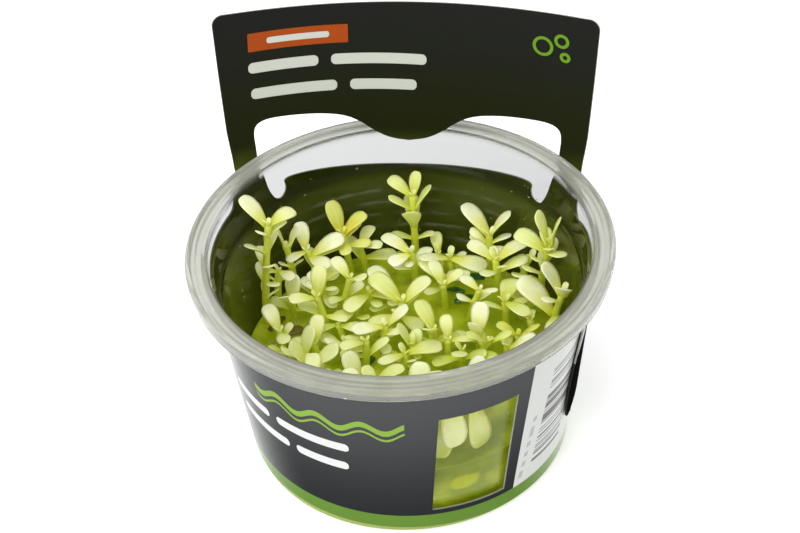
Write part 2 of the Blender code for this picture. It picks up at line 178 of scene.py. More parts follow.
def lay_body(name, points, faces, finish):
    """A smooth piece from points in millimetres and a list of face arrays, riding on the one body."""
    mesh = bpy.data.meshes.new(name)
    mesh.from_pydata((points * MM).tolist(), [], [face for group in faces for face in group.tolist()])
    mesh.shade_smooth()
    mesh.materials.append(finish.material)
    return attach(placed(name, mesh), "root")


def rounded(corners):
    """A profile whose corners (radius, height, cut) are eased, each by a quadratic curve that has the corner as its
    middle handle and its ends a cut away from it."""
    spot, handle, cut = corners[:, :2], corners[1:-1, :2], corners[1:-1, 2:]
    back, ahead = spot[:-2] - handle, spot[2:] - handle
    start = handle + back / norm(back, axis=1, keepdims=True) * cut
    stop = handle + ahead / norm(ahead, axis=1, keepdims=True) * cut
    t = np.linspace(0, 1, CORNER_POINTS)[None, :, None]
    curve = (1 - t) ** 2 * start[:, None] + 2 * t * (1 - t) * handle[:, None] + t ** 2 * stop[:, None]
    return np.vstack([spot[:1], curve.reshape(-1, 2), spot[-1:]])


UP = np.array([0, 0, 1.0])


def circle(count):
    """Angles set evenly round a circle."""
    return np.linspace(0, 2 * np.pi, count, endpoint=False)


def about_axis(radius, a, height):
    """Points at (radius sin a, -radius cos a, height): a is 0 at the front and grows to the right."""
    return np.stack(np.broadcast_arrays(radius * np.sin(a), -radius * np.cos(a), height), -1)


def shell_faces(rings, around):
    """Faces of a closed body: quads between its rings of points, and triangles at each end to a pole. The two poles
    are the points after the rings."""
    row, last, count = np.arange(rings - 1)[:, None] * around, (rings - 1) * around, rings * around
    step = np.arange(around)
    ahead = (step + 1) % around
    quads = np.stack([row + step, row + ahead, row + around + ahead, row + around + step], -1).reshape(-1, 4)
    foot = np.stack([np.full(around, count), ahead, step], -1)
    tip = np.stack([np.full(around, count + 1), last + step, last + ahead], -1)
    return [quads, foot, tip]


def turned(profile, around):
    """A closed body of revolution: each spot of the profile becomes a ring, and its ends on the axis the poles."""
    rings = about_axis(profile[1:-1, :1], circle(around), profile[1:-1, 1:])
    poles = [(0, 0, profile[0, 1]), (0, 0, profile[-1, 1])]
    return np.vstack([rings.reshape(-1, 3), poles]), shell_faces(len(rings), around)


cup_profile = rounded(np.array([
    (0, 0.6, 0), (30, 0.6, 1), (31, 0, 0.3), (FOOT_RADIUS - 0.4, 0, 0.3), (FOOT_RADIUS, 0.4, 0.2),
    (FOOT_RADIUS, 4, 1), (43.7, 46.6, 0.3), (44.4, 47.2, 0.3), (45, 53.6, 0.8), (46.4, 56.4, 0.5),
    (50.2, 56.4, 0.5), (50.15, 54.2, 0.15), (50.25, SKIRT_FOOT, 0.1), (SKIRT_RADIUS, SKIRT_FOOT, 0.12),
    (SKIRT_RADIUS, 54.6, 0.3), (RIM_RADIUS, 56.8, 0.5), (50.8, CUP_HEIGHT, 0.3), (50.1, CUP_HEIGHT, 0.3),
    (49.5, 57.15, 0.3), (48.9, 57.4, 0.3), (48.2, 57.1, 0.3), (47.4, 57.1, 0.3), (46.8, 57.45, 0.3),
    (45.9, 57.45, 0.2), (44.4, 54, 0.6), (43.8, 47.6, 0.4), (43, 46.4, 0.4), (38.25, 1.9, 0.4),
    (37.6, 1.3, 0.4), (0, 1.3, 0),
]))
clear = Finish("clear_cup", Transmission_Weight=1, IOR=1.45, Specular_Tint=(0.1, 0.1, 0.1))
place = clear.place()
rise = clear.node("SeparateXYZ", {0: place}, "Z")
reach = clear.vector("LENGTH", clear.vector("MULTIPLY", place, (1, 1, 0)))
on_flange = reach.ramp(*FLANGE_STARTS)
on_plate = rise.ramp(*PLATE_STARTS)
tint = clear.blend(rise.ramp(*LEDGE_DARKENS), WALL_TINT, LEDGE_TINT)
clear.wear(
    Base_Color=clear.blend(on_flange, tint, clear.blend(on_plate, SKIRT_TINT, PLATE_TINT)),
    Roughness=clear.cloud(60) * 0.05 + 0.02,
)
clear.relief(clear.cloud(45, 1), 0.0003, 0.2)
milky = clear.node("BsdfPrincipled", {"Base Color": MILK, "Roughness": 0.35})
# Painted highlight lines: sine rings of milky haze across the flange stand for the reflections off its ridges.
rings = (reach * COARSE_PAINTED_GLINTS).sine() * 0.045 + (reach * FINE_PAINTED_GLINTS).sine() * 0.02
haze_and_painted_glints = on_flange * (on_plate * 0.4 + 0.6) * (clear.cloud(110, 3) * 0.3 + rings + 0.32)
# Painted highlights: faint bands of milky haze up the back half of the wall, between two heights, stand for reflected
# glints.
behind = clear.node("SeparateXYZ", {0: place}, "Y") > BACK_HALF
painted_wall_glints = (rise * WALL_PAINTED_GLINTS).sine().ramp(0.5, 1) * rise.between(*GLINT_LINED_WALL)
haze_and_painted_glints = haze_and_painted_glints + painted_wall_glints * clear.cloud(120).ramp(0.4, 0.7) * behind * 0.12
thin = clear.node("BsdfPrincipled", {
    "Base Color": tint, "Roughness": clear.cloud(60) * 0.03, "Transmission Weight": 1, "IOR": 1.16})
moulding = clear.node("MixShader", {0: on_flange, 1: thin, 2: Reading(clear, clear.surface.outputs[0])})
veiled = clear.node("MixShader", {0: haze_and_painted_glints, 1: moulding, 2: milky})
# Painted light: the foot's lowest two and a half millimetres mix in a diffuse yellow-green that stands for the gel
# seen through it.
foot_painted_gel = clear.node("BsdfPrincipled", {"Base Color": FOOT_PAINTED_GEL_COLOUR, "Roughness": 0.25})
foot_painted_gel = clear.node("MixShader", {0: (1 - rise.ramp(*FOOT_CLEARS)) * 0.8, 1: veiled, 2: foot_painted_gel})
clear.put(clear.tree.nodes["Material Output"], {"Surface": foot_painted_gel})
cup = lay_body("cup_moulding", *turned(cup_profile, CUP_SIDES), clear)
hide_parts("cup")

# Gel: a clear yellow-green jelly poured warm into the cup, so its top is wavy and climbs a little at the wall and
# round each stem. It fills a third of the cup and holds the shoots' feet.

GEL_LEVEL = 21.0
GEL_GAP = 0.3
GEL_RINGS, GEL_SIDES = 64, 160
GEL_FOOT = np.array([(20, 1.6), (34.4, 1.6), (37.3, 1.62), (37.95, 2.2)])
LEAF_SPOT, LEAF_STRETCH = (0.015, -0.035, 0.0145), (1, 0.6, 1.5)
JELLY, JELLY_GLOW = ((0.34, 0.42, 0.008), (0.66, 0.72, 0.05)), ((0.42, 0.52, 0.01), (0.66, 0.74, 0.03))
STRAND_GREEN, LEAF_YELLOW = (0.14, 0.22, 0.004), (0.74, 0.78, 0.004)

# One row a shoot: foot x and y, top x, y and z, then its leaf pairs from the top down. A pair is its place up the
# stem, the turn and rise of each leaf, and the longer leaf's length.
SHOOTS = [
    (-36, 12, -33.5, 15, 50.5, [(1, 151, 33, 48, 0, 9.4), (.74, -133, 45, 75, 38, 7.6)]),
    (-29.5, 23.5, -30.8, 23.6, 36.4, [(1, -160, 66, 20, 64, 7.4), (.6, -125, 25, -27, 45, 4.8)]),
    (-33.6, 18, -32.7, 18.2, 33.6, [(1, -130, -5, -47, 10, 6.6), (.7, 171, 30, 60, 30, 5)]),
    (-23, 24.5, -26, 24.5, 34.8, [(1, 120, 16, -128, 8, 7.2), (.86, 24, 10, -60, 12, 9.4)]),
    (-16, 30.5, -17.4, 31, 34.8, [
        (1, 132, 56, 40, 34, 8.8), (.84, 104, 48, -80, 40, 7.2), (.72, -150, 24, -12, 18, 7.6)]),
    (-12, 31.5, -13.2, 31.2, 30.6, [(1, 67, 14, -12, 34, 6.6), (.55, 5, 4, 175, 12, 8)]),
    (-16.8, 14.5, -14.3, 14.4, 34, [(1, 130, 12, -38, 34, 6.8), (.5, 40, 20, -140, 15, 5.4)]),
    (-10.5, 15.5, -9.6, 14.8, 28.8, [(1, -138, 2, -23, 8, 8.2)]),
    (-1.6, 9.5, -1.2, 9.1, 30.7, [(1, 142, 33, 33, 30, 10.2), (.5, -146, 6, -50, 8, 8.8)]),
    (0.8, 34.6, 0.6, 36.4, 42.6, [
        (1, 145, 24, 70, 42, 7.4), (.82, 0, 60, 190, 50, 8.4), (.6, -95, 62, 100, 50, 9),
        (.4, -165, 24, -10, 26, 6)]),
    (1.2, 26, 0.4, 26, 32.6, [(1, 149, 16, -130, 10, 8.4)]),
    (10.5, 28.6, 9.9, 29.4, 28.2, [(1, -28, 4, -150, 12, 10)]),
    (9, 17.5, 8.6, 17.5, 29, [(1, 117, 34, 48, 26, 6.8)]),
    (15.3, 13, 18, 12.9, 31.4, [(1, 139, 12, -30, 25, 5.8), (.62, -159, 38, 20, 30, 5.2)]),
    (20, 30, 20, 30.8, 34.4, [(1, 118, 33, 45, 8, 10), (.74, -46, 14, 168, 30, 6)]),
    (22.5, 21.5, 21.8, 21.3, 34.2, [(1, 37, 8, 150, 20, 9), (.7, 20, 12, -120, 10, 8)]),
    (27.8, 24.6, 29.6, 24.4, 31, [(1, 172, 72, -8, 72, 7.4)]),
    (32.6, 19.2, 35.4, 14.8, 44.6, [(1, 172, 74, -8, 76, 10), (.86, 146, 14, -60, 30, 9.2)]),
    (36, 9.4, 38.4, 8, 34.2, [(1, -48, 72, 150, 58, 10.8), (.4, 146, 34, -70, 12, 12.2)]),
    (7, 31.5, 6.8, 32, 27.2, [(1, 99, 52, -80, 30, 5.8)]),
    (24.5, 10.5, 24.3, 10.6, 29.6, [(1, 120, 28, -40, 10, 9.6), (.72, -168, 34, 25, 10, 6.4)]),
    (18, -1, 20.6, -1.2, 27, [(1, -154, 42, -2, 34, 7), (.5, -60, 10, 100, 20, 5.8)]),
    (10.3, -2.2, 10.6, -1.9, 28, [(1, 98, 40, 8, 10, 6.2)]),
    (6.4, 1, 6.8, 0.2, 29.2, [(1, 99, 50, -98, 48, 8.4), (.5, 10, 15, 170, 10, 6.4)]),
    (-5.6, 0, -5, 1, 30.2, [(1, -150, 6, 20, 20, 8.4), (.5, 100, 20, -80, 10, 6.2)]),
    (-9.6, -5.8, -9.2, -5.6, 31, [(1, 106, 45, -150, 20, 7.4), (.5, 30, 15, -170, 15, 6.8)]),
    (0.2, -6.4, 0.2, -5.8, 27, [(1, 45, 15, -167, 14, 8.8), (.5, 144, 8, -40, 10, 6.4)]),
    (-19.6, 6.3, -21.8, 6.1, 35, [(1, 80, 58, -158, 14, 7.8), (.55, 177, 38, -23, 8, 7.2)]),
    (-15.6, 3.6, -16.8, 4, 27.8, [(1, -21, 18, 160, 15, 6.4)]),
    (-31, 2, -31.4, 2.2, 27, [(1, 120, 30, -70, 20, 7.6)]),
    (-21.4, -3.4, -22.4, -2.4, 27, [(1, 78, 30, 160, 25, 7.2)]),
    (28, 2, 27.6, 2.4, 25.6, [(1, -14, 24, 150, 18, 6.6)]),
    (-22, 16.5, -21.6, 17, 31, [(1, 60, 30, -110, 30, 8.6)]),
    (31.5, 4.8, 30.6, 6, 27.6, [(1, 100, 30, -60, 30, 7.4)]),
    (10, -25.5, 11.6, -31.7, 37.9, [(1, -70, -62, 110, -10, 12), (.3, -94, -22, 60, 10, 10.4)]),
    (19.4, -22, 17.1, -28.7, 33.7, [(1, -59, -62, 130, 10, 12)]),
    (-6, -19, -6.4, -20, 31, [(1, 20, 20, 200, 24, 7.6)]),
    (-20, -18, -21, -18.6, 29.5, [(1, 95, 24, -80, 20, 7.4)]),
    (26, -11, 27, -11.6, 29, [(1, 30, 20, 190, 22, 7.2)]),
]


def inner_wall(height):
    """The cup's inner radius at a height, straight between its corners."""
    return np.interp(height, (1.3, 1.9, 46.4, 47.6, 54, 57.5), (37.6, 38.25, 43, 43.8, 44.4, 45.9))


def gel_height(x, y):
    """The gel's top: its level, three crossing waves, a climb that dies away from the wall by a power of e, and a
    small bell round each stem."""
    reach = np.hypot(x, y)
    foot_x, foot_y = np.array([row[:2] for row in SHOOTS]).T
    far = np.subtract.outer(x, foot_x) ** 2 + np.subtract.outer(y, foot_y) ** 2
    waves = 0.18 * np.sin(0.41 * x + 0.23 * y) + 0.14 * np.sin(0.62 * y - 0.35 * x + 1.3)
    waves += 0.09 * np.sin(1.3 * x + 0.9 * y + 0.6) * np.sin(1.1 * y - 0.7 * x)
    climb = 0.5 * np.exp((reach - (inner_wall(GEL_LEVEL) - GEL_GAP)) / 1.3)
    return GEL_LEVEL + waves + climb + np.exp(-far / 3.2).sum(-1).clip(0, 1) * 0.55


def poured():
    """The gel as a closed body: rings for its foot and side, then rings over the top that are closest at the wall."""
    a = circle(GEL_SIDES)
    brim = inner_wall(GEL_LEVEL + 1) - GEL_GAP
    reach = brim * np.sin(np.linspace(0, np.pi / 2, GEL_RINGS + 1)[:0:-1])[:, None]
    x, y = reach * np.sin(a), -reach * np.cos(a)
    rows = np.vstack([about_axis(GEL_FOOT[:, :1], a, GEL_FOOT[:, 1:]), np.stack([x, y, gel_height(x, y)], -1)])
    poles = [(0, 0, GEL_FOOT[0, 1]), (0, 0, gel_height(0, 0))]
    return np.vstack([rows.reshape(-1, 3), poles]), shell_faces(len(rows), GEL_SIDES)


jelly = Finish(
    "nutrient_gel", Transmission_Weight=0.45, IOR=1.34, Subsurface_Weight=0.9, Subsurface_Scale=0.003,
    Subsurface_Radius=(1, 1, 0.3), Specular_IOR_Level=0.5, Emission_Strength=0.09,
)
spread = jelly.vector("MULTIPLY", jelly.vector("SUBTRACT", jelly.place(), LEAF_SPOT), LEAF_STRETCH)
spread = jelly.vector("LENGTH", spread) + jelly.cloud(260) * 0.003
colour = jelly.blend(jelly.cloud(90, 4).ramp(0.38, 0.66), *JELLY)
strands = jelly.cloud(130, 4, (1, 1, 0.35)).ramp(0.56, 0.66)
colour = jelly.blend(strands * 0.5, colour, STRAND_GREEN)
jelly.wear(
    Base_Color=jelly.blend(spread.ramp(0.0062, 0.0045), colour, LEAF_YELLOW),
    Emission_Color=jelly.blend(jelly.cloud(90, 3).ramp(0.35, 0.7), *JELLY_GLOW),
    Roughness=jelly.cloud(150) * 0.12 + 0.02,
)
jelly.relief(jelly.cloud(210, 3), 0.0008, 0.8)
gel = lay_body("poured_gel", *poured(), jelly)
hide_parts("gel")

# Sleeve: one printed card, die-cut flat, wrapped round the cup with its tab lapped over at the right, and folded up
# behind the rim into the header. Its cut edges show the pale board, but the tab's tip has painted shade: its face and
# cut edge are black, as the flap stands edge-on out of the light.

CARD = 0.45
BAND_BOTTOM, BAND_TOP = 2.1, 52.4
BAND_BOTTOM_RADIUS, BAND_TOP_RADIUS = 39.5, 45.6
FLAP_FOOT, FLAP_END, FLAP_PROUD, LAP_SETTLES = 92, 457, 0.85, (104, 112)
BACK_EDGE = 46.7
HEADER_TOP, HEADER_HALF_WIDTH, HEADER_ROUND, HEADER_CROWN = 93, 46.6, 2.2, 2.2
HEADER_Y, HEADER_LEAN, HEADER_CURVE = 43.1, 0.176, 96.0
CARD_TILT, HEADER_REACH = 0.027, 51.0
# The fold, in heights and in degrees from the back: where it rises, where the legs stand and where it ends.
FOLD_HEIGHTS, SHOULDER_HEIGHTS = (45, 54), (53, 60)
LEG_INNER, LEG_OUTER, FOLD_SPAN = (43.5, 47.5), (57, 69), 70
# Millimetres a degree on the flat card, and the width of its triangles.
FLAT = 0.8
MESH_STEP = 1.5


def eased(value, low, high):
    """0 at low to 1 at high with no corner at either end: 3 t squared less 2 t cubed."""
    t = np.clip((value - low) / (high - low), 0, 1)
    return t * t * (3 - 2 * t)


def band_radius(height):
    """The band's middle surface: a cone a little wider than the cup's wall."""
    slope = (BAND_TOP_RADIUS - BAND_BOTTOM_RADIUS) / (BAND_TOP - BAND_BOTTOM)
    return BAND_BOTTOM_RADIUS + slope * (height - BAND_BOTTOM)


def wrapped(angle, height, off):
    """Where a flat spot of the card lies. Low down it is on a cone round the cup, at the angle from the front and a
    little lower on the right; behind the rim it eases into the header, a sheet bowed across and leaning back. off
    is the distance outwards."""
    a = np.radians(angle)
    low = height - CARD_TILT * band_radius(height) * np.sin(a)
    radius = band_radius(low) + FLAP_PROUD * (1 - eased(angle, *LAP_SETTLES)) + off
    wall = about_axis(radius, a, low)
    back = np.abs(180 - angle)
    side = 1 - eased(back, *LEG_OUTER) * (1 - eased(height, *SHOULDER_HEIGHTS))
    inner = np.where(height > SHOULDER_HEIGHTS[0], 1, eased(back, *LEG_INNER))
    bend = np.where(back > FOLD_SPAN, 0, eased(height, *FOLD_HEIGHTS) * side * inner)[:, None]
    x = HEADER_REACH * np.sin(a)
    slope = np.stack([x / HEADER_CURVE, 1 + 0 * x, -HEADER_LEAN + 0 * x], -1)
    y = HEADER_Y + HEADER_LEAN * (height - CUP_HEIGHT) - x * x / (2 * HEADER_CURVE)
    sheet = np.stack([x + CARD_TILT * (height - CUP_HEIGHT), y, height - CARD_TILT * x], -1)
    sheet = sheet + slope / norm(slope, axis=1, keepdims=True) * off
    return wall * (1 - bend) + sheet * bend


def at_back(x, height):
    """Flat spots of the card, as angle and height, where the header's sheet has this x."""
    return np.stack([180 - np.degrees(np.arcsin(x / HEADER_REACH)), height], -1)


def corner(cx, start):
    """A quarter circle for the header's rounded corners."""
    a = np.radians(np.linspace(start, start - 90, 9))
    return at_back(cx + HEADER_ROUND * np.cos(a), HEADER_TOP - 0.2 + HEADER_ROUND * np.sin(a))


def walked(loop, step):
    """A closed loop in angle and height, with points along its sides a step apart at most."""
    way = np.roll(loop, -1, 0) - loop
    far = np.hypot(way[:, 0] * FLAT, way[:, 1])
    count = np.ceil(far / step).astype(int).clip(1)
    share = np.concatenate([np.arange(n) / n for n in count])[:, None]
    first = np.repeat(np.arange(len(loop)), count)
    return loop[first] + way[first] * share


def within(loop, spots):
    """Whether flat spots lie inside a closed loop: an odd number of its sides pass to their right."""
    ax, ay = loop.T
    bx, by = np.roll(loop, -1, 0).T
    x, y = spots[:, :1], spots[:, 1:]
    beside = (ay > y) != (by > y)
    rise = np.where(by == ay, 1e-9, by - ay)
    return (beside & (x < (bx - ax) * (y - ay) / rise + ax)).sum(1) % 2 == 1


def curved(points):
    """A line whose corners are cut to a quarter and three quarters of each side, twice over."""
    for _ in range(2):
        a, b = points[:-1], points[1:]
        cuts = np.stack([a * .75 + b * .25, a * .25 + b * .75], 1).reshape(-1, 2)
        points = np.vstack([points[:1], cuts, points[-1:]])
    return points


def card_loops():
    """The card's outer edge, big window behind the rim and small view window, in angle and height. The big one's
    arch is listed by x and its notch by degrees from the back."""
    brow = np.linspace(-42, 42, 43)
    crown = at_back(brow, HEADER_TOP + HEADER_CROWN * (brow / 47) ** 2)
    shoulder, high = np.array([(43.8, 58), (44.6, 64), (45.8, 80)]).T
    left, right = at_back(-shoulder, high), at_back(shoulder[::-1], high[::-1])
    tab = curved(np.array([
        (84, BAND_TOP), (76, 46), (70.6, 37.3), (68.1, 29.6), (67.3, 23), (68, 17.5), (70.5, 15.2), (75, 16.6),
        (82, 17.5), (89, 16.5), (FLAP_FOOT, 13.5)]))
    outer = np.vstack([
        [(FLAP_FOOT, BAND_BOTTOM), (FLAP_END, BAND_BOTTOM), (FLAP_END, BAND_TOP)],
        [(240, BAND_TOP), (238, BAND_TOP + 0.3)], left, corner(HEADER_ROUND - HEADER_HALF_WIDTH, 180), crown,
        corner(HEADER_HALF_WIDTH - HEADER_ROUND, 90), right, [(122, BAND_TOP + 0.3), (120, BAND_TOP)], tab,
    ])
    arch = np.array([
        (0, 55.9), (4.5, 56.5), (8.5, 58.6), (12, 61.4), (16, 63.5), (22, 64.6), (29, 65.2), (35, 65.4),
        (37.6, 64.4), (38.3, 62.2), (37.8, 57.5), (37.6, 53.4)])
    notch = np.array([
        (47, 51), (48.4, 48.4), (48.1, 46.6), (46.7, 45.7), (45.2, 45.8), (43.8, 46.8), (43.1, 48.4),
        (43.6, 49.9), (42.2, 50.5), (37.5, 50), (30, 49), (22.5, 48.1), (15, 47.4), (7.5, 46.9),
        (0, BACK_EDGE)])
    half = curved(np.vstack([at_back(*arch.T), notch * (-1, 1) + (180, 0)]))
    window = np.vstack([half, (half * (-1, 1) + (360, 0))[-2:0:-1]])
    view = np.array([(373.6, 41.4), (386.5, 41.5), (399.9, 41.4), (397.2, 8.3), (384, 8.3), (370.8, 8.3)])
    return [walked(outer, MESH_STEP), walked(window, 1), walked(view, MESH_STEP)]


def on_card(loops, spots):
    """Whether flat spots lie inside the outer edge and outside both windows."""
    return within(loops[0], spots) & ~within(loops[1], spots) & ~within(loops[2], spots)


def die_cut():
    """The card's flat spots and triangles: its loops and a staggered grid inside them, and the triangles whose
    middles lie on the card."""
    loops = card_loops()
    angle, height = np.meshgrid(np.arange(67, FLAP_END, MESH_STEP / FLAT), np.arange(2.8, 96, MESH_STEP * 0.87))
    angle[::2] += MESH_STEP / FLAT / 2
    grid = np.stack([angle, height], -1).reshape(-1, 2)
    grid = grid[on_card(loops, grid)]
    rim = np.vstack(loops)
    gap = np.hypot((grid[:, None, 0] - rim[:, 0]) * FLAT, grid[:, None, 1] - rim[:, 1]).min(1)
    grid = grid[gap > MESH_STEP * 0.45]
    spots = np.vstack([rim, grid])
    edges = []
    for loop in loops:
        step = np.arange(len(loop))
        edges += (len(edges) + np.stack([step, (step + 1) % len(loop)], -1)).tolist()
    result = delaunay_2d_cdt([Vector((a * FLAT, z)) for a, z in spots], edges, [], 0, 1e-5)
    flat = np.array([(v.x / FLAT, v.y) for v in result[0]])
    faces = np.array([face for face in result[2] if len(face) == 3])
    return flat, faces[on_card(loops, flat[faces].mean(1))]


def keep_mark(mesh, key, values):
    """Stores a number on each point of a mesh, for its finish to read."""
    mark = mesh.attributes.new(key, "FLOAT", "POINT")
    mark.data.foreach_set("value", values.astype(np.float32))


def lay_sleeve(name, finishes):
    """Both faces of the card and the walls of its cut edges, each point with its angle and height kept."""
    flat, faces = die_cut()
    count = len(flat)
    points = np.vstack([wrapped(*flat.T, CARD / 2), wrapped(*flat.T, -CARD / 2)])
    sides = np.vstack([faces[:, [0, 1]], faces[:, [1, 2]], faces[:, [2, 0]]])
    key = sides[:, 0] * count + sides[:, 1]
    border = sides[~np.isin(key, sides[:, 1] * count + sides[:, 0])]
    walls = np.stack([border[:, 1], border[:, 0], border[:, 0] + count, border[:, 1] + count], -1)
    mesh = bpy.data.meshes.new(name)
    faces_in = (faces[:, ::-1] + count).tolist()
    mesh.from_pydata((points * MM).tolist(), [], faces.tolist() + faces_in + walls.tolist())
    side = np.repeat([0, 1, 2], [len(faces), len(faces), len(walls)])
    mesh.polygons.foreach_set("material_index", side.astype(np.int32))
    mesh.polygons.foreach_set("use_smooth", side < 2)
    keep_mark(mesh, "card_angle", np.tile(flat[:, 0], 2))
    keep_mark(mesh, "card_height", np.tile(flat[:, 1], 2))
    mesh.set_sharp_from_angle(angle=np.radians(50))
    for finish in finishes:
        mesh.materials.append(finish.material)
    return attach(placed(name, mesh), "root")


def plate(u, v, left, right, low, high, round_by):
    """A rounded oblong: 1 where the distance past its shrunken half sizes is less than the corner's radius."""
    past_u = (abs(u - (left + right) / 2) - ((right - left) / 2 - round_by)).most(0)
    past_v = (abs(v - (low + high) / 2) - ((high - low) / 2 - round_by)).most(0)
    return (past_u * past_u + past_v * past_v) < round_by * round_by


def any_of(masks):
    """1 wherever one of several masks is."""
    return reduce(Reading.most, masks)


def word_bars(u, v, runs, tall):
    """Plain rounded bars in place of words, each from its left end, right end and foot line."""
    return any_of(plate(u, v, left, right, low, low + tall, tall * 0.42) for left, right, low in runs)


def hoop(u, v, centre_u, centre_v, radius, thick):
    """A ring: 1 between two distances from its centre."""
    far = (u - centre_u) * (u - centre_u) + (v - centre_v) * (v - centre_v)
    return (far < radius * radius) * (1 - (far < (radius - thick) * (radius - thick)))


# Colours of the print, some with painted light (a sheen on the slate and stripe, shade on the tab), then where it
# lies:
# on the band by arc length and height, on the header across and up.
INK_GREEN, STRIPE_GREEN, STRIPE_SHEEN = (0.105, 0.205, 0.034), (0.135, 0.255, 0.042), (0.52, 0.6, 0.36)
INK_WHITE, BOARD, BAR_GREY, READER_GREY = (0.66, 0.67, 0.66), (0.6, 0.61, 0.59), (0.16,) * 3, (0.3,) * 3
SLATE_AND_PAINTED_SHEEN, TAB_PAINTED_SHADE, EDGE_PAINTED_SHADE = ((0.022, 0.024, 0.026), (0.082, 0.084, 0.088)), (0.002,) * 3, (0.004,) * 3
WAVE_GREEN, RING_GREEN, ORANGE = (0.23, 0.38, 0.06), (0.13, 0.29, 0.015), (0.36, 0.064, 0.01)
WORD_CREAM, BACK_GREEN_AND_PAINTED_SIDE_LIGHT = (0.56, 0.58, 0.52), ((0.075, 0.09, 0.012), (0.135, 0.16, 0.016))
STRIPE_TOP = 6.6
BARS_LOW, BARS_HIGH, BAR_SIZE = 12, 42, 2.9
WAVE_HEIGHT, ECHO_HEIGHT, WAVE_RISE, WAVE_BEND = 38.7, 36.2, 1.35, 0.58
ORNAMENT = (233.5, 272.5, 33.5, 42.5)
BAND_WORDS = ((222, 236.6, 28.9), (239.2, 259.1, 28.9), (223.5, 241.9, 22.1), (244.2, 258.4, 22.1))
PATCH, PATCH_WORD = (-38.65, -14.65, 83.9, 88.7), ((-34.2, -19.2, 85.5),)
HEADER_WORDS = ((-38.8, -22, 78.2), (-18.9, 4.6, 78.2), (-38.4, -17.6, 71.3), (-14.4, 2.1, 71.3))
RINGS, RING_THICK = ((33.2, 85.4, 2.5), (37.7, 87.6, 1.8), (38.6, 83.6, 1.3)), 0.75

outside = Finish("sleeve_outer_print", Specular_IOR_Level=0.004, Coat_Roughness=0.2)
angle, height = outside.marks("card_angle", "card_height")
# Painted sheen: the slate grows lighter upwards, standing for the studio's reflection.
slate_and_painted_sheen = outside.blend(height.ramp(4, 58), *SLATE_AND_PAINTED_SHEEN)
colour = outside.blend(angle > (height - 6.1) * 0.108 + 401.2, slate_and_painted_sheen, BOARD)
bars_left = (height - BARS_LOW) * 0.233 + 409
bars_right = (height - BARS_LOW) * 0.267 + 426
bars = angle.between(bars_left, bars_right) * height.between(BARS_LOW, BARS_HIGH)
dash = outside.node("TexWhiteNoise", {"W": (height * BAR_SIZE).whole()}, noise_dimensions="1D")
colour = outside.blend(bars * (dash > 0.5), colour, BAR_GREY)
side_line = outside.node("TexWhiteNoise", {"W": (height * 0.62).whole() + 90}, noise_dimensions="1D")
reader = angle.between(bars_left - 5.2, bars_left - 3.4) * height.between(9, 29) * (side_line > 0.3)
colour = outside.blend(reader * 0.6, colour, READER_GREY)
arc = angle * 0.75
bend = (arc * WAVE_BEND).sine() * WAVE_RISE
wave = abs(height - WAVE_HEIGHT - bend) < 0.95
echo = abs(height - ECHO_HEIGHT - bend) < 0.38
colour = outside.blend(plate(arc, height, *ORNAMENT, 1) * wave.most(echo), colour, WAVE_GREEN)
colour = outside.blend(word_bars(arc, height, BAND_WORDS, 2.7), colour, INK_WHITE)
stripe = outside.blend(outside.cloud(120), INK_GREEN, STRIPE_GREEN)
stripe = outside.blend(angle.ramp(400, 440) * (1 - (angle > 460)) * 0.4, stripe, STRIPE_SHEEN)
colour = outside.blend(height < STRIPE_TOP, colour, stripe)
# Painted shade: the tab's face turns black, for a flap seen edge-on out of the light.
tab_painted_shade = outside.blend(angle.ramp(74, FLAP_FOOT), TAB_PAINTED_SHADE, slate_and_painted_sheen)
tab_colour = outside.blend(height > (angle - 68) * 0.8 + 34, tab_painted_shade, BOARD)
colour = outside.blend(angle < FLAP_FOOT, colour, tab_colour)
facing = outside.node("LayerWeight", {"Blend": 0.5}, "Facing")
outside.wear(
    Base_Color=colour,
    Roughness=(outside.cloud(90, 4) * 0.16 + 0.26).most(angle < FLAP_FOOT),
    Coat_Weight=facing.ramp(0.55, 0.95) * (angle > FLAP_FOOT),
)
outside.relief(outside.cloud(1400), 0.00003, 0.5)

inside = Finish("sleeve_inner_print", Specular_IOR_Level=0.05)
angle, height = inside.marks("card_angle", "card_height")
across = (angle * (np.pi / 180)).sine() * HEADER_REACH
line = height + (across + 38.8) * 0.04
# Painted light: the inner face's green grows lighter from the back towards the sides.
ground = inside.blend(abs(angle - 180).ramp(30, 85), *BACK_GREEN_AND_PAINTED_SIDE_LIGHT)
ground = inside.blend(height.ramp(50, 60), ground, (0.014, 0.017, 0.004))
ground = inside.blend(height.ramp(58, 92), ground, (0.013, 0.014, 0.012))
header = height > FOLD_HEIGHTS[1]
colour = inside.blend(plate(across, line, *PATCH, 0.25) * header, ground, ORANGE)
words = word_bars(across, line, HEADER_WORDS, 2.8).most(word_bars(across, line, PATCH_WORD, 1.6))
colour = inside.blend(words * header, colour, WORD_CREAM)
rings = any_of(hoop(across, height, *ring, RING_THICK) for ring in RINGS)
colour = inside.blend(rings * header, colour, RING_GREEN)
inside.wear(Base_Color=colour, Roughness=inside.cloud(90, 4) * 0.16 + 0.32)
inside.relief(inside.cloud(1400), 0.00003, 0.5)

cut_edge = Finish("sleeve_cut_edge", Roughness=0.8)
angle, height = cut_edge.marks("card_angle", "card_height")
colour = cut_edge.blend(cut_edge.cloud(900), (0.26, 0.28, 0.22), (0.38, 0.4, 0.33))
# Painted shade: the cut edges round the tab are black too.
cut_edge.wear(Base_Color=cut_edge.blend(angle.between(60, FLAP_FOOT) * (height < 34), colour, EDGE_PAINTED_SHADE))
cut_edge.relief(cut_edge.cloud(2500, 3), 0.00005)

sleeve = lay_sleeve("card_sleeve", (outside, inside, cut_edge))
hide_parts("sleeve")

